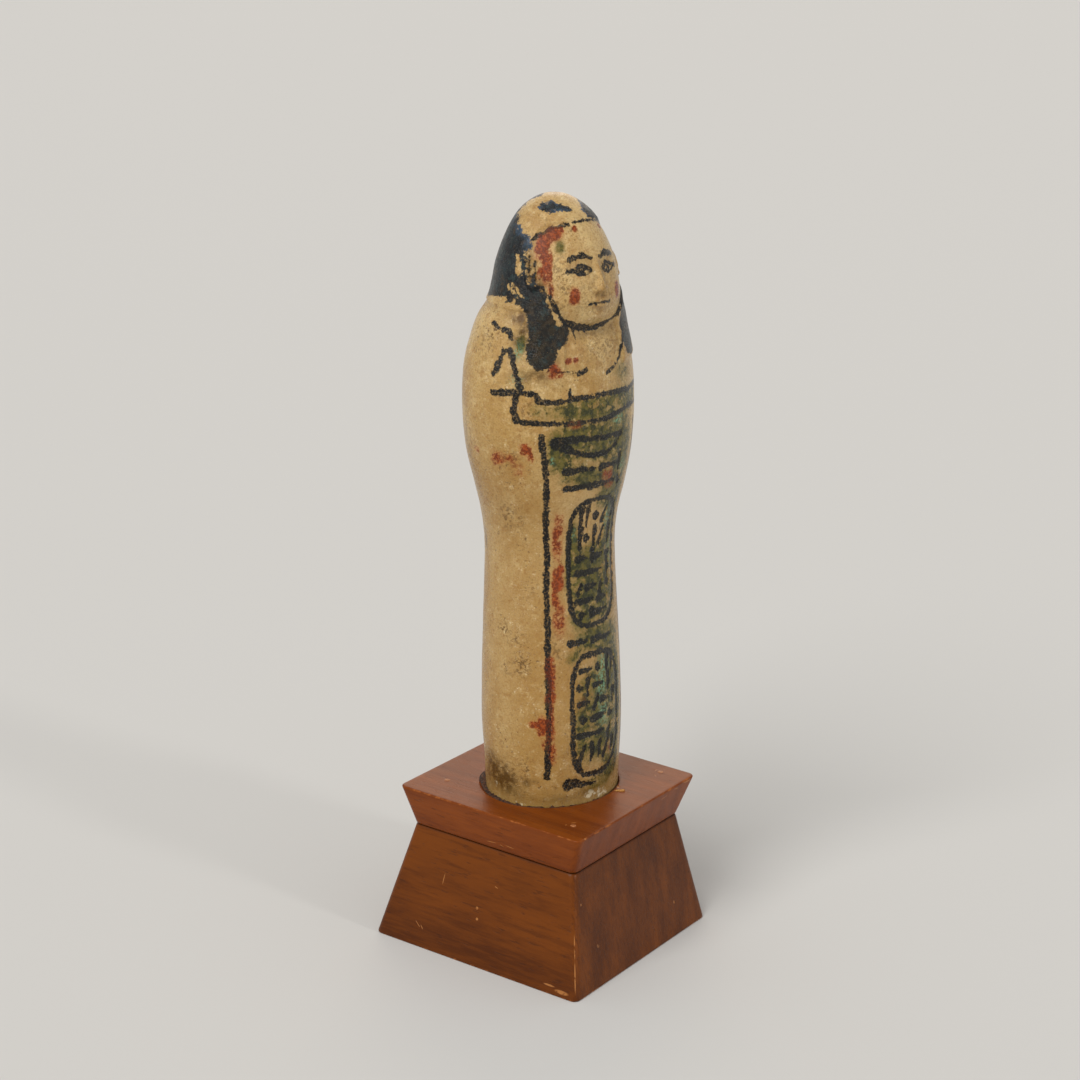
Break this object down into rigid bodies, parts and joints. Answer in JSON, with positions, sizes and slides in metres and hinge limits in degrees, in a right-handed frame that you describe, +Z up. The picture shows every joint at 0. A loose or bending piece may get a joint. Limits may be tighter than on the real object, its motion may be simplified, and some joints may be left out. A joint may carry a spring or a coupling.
{
  "type": "ushabti figurine",
  "caption": "Mummy-shaped funerary figurine of painted alabaster with wig and lappets, its foot let into a flared wooden stand.",
  "frame": {"origin": "on the ground, under the middle of the stand", "axes": "+Z up; -Y the stand's front, which the figurine roughly faces; +X to the figurine's left"},
  "size_m": [0.082, 0.082, 0.254],
  "materials": {
    "alabaster": "smooth, hand polished, painted in black, blue, green and red",
    "varnished_wood": "stained reddish brown and varnished, worn at the edges",
    "wood_filler": "matte filler"
  },
  "bodies": {
    "root": {"figurine": "alabaster", "stand_cap": "varnished_wood", "stand_block": "varnished_wood", "nail_plug_front_left": "wood_filler", "nail_plug_front_right": "wood_filler", "nail_plug_back_left": "wood_filler", "nail_plug_back_right": "wood_filler"}
  },
  "joints": []
}
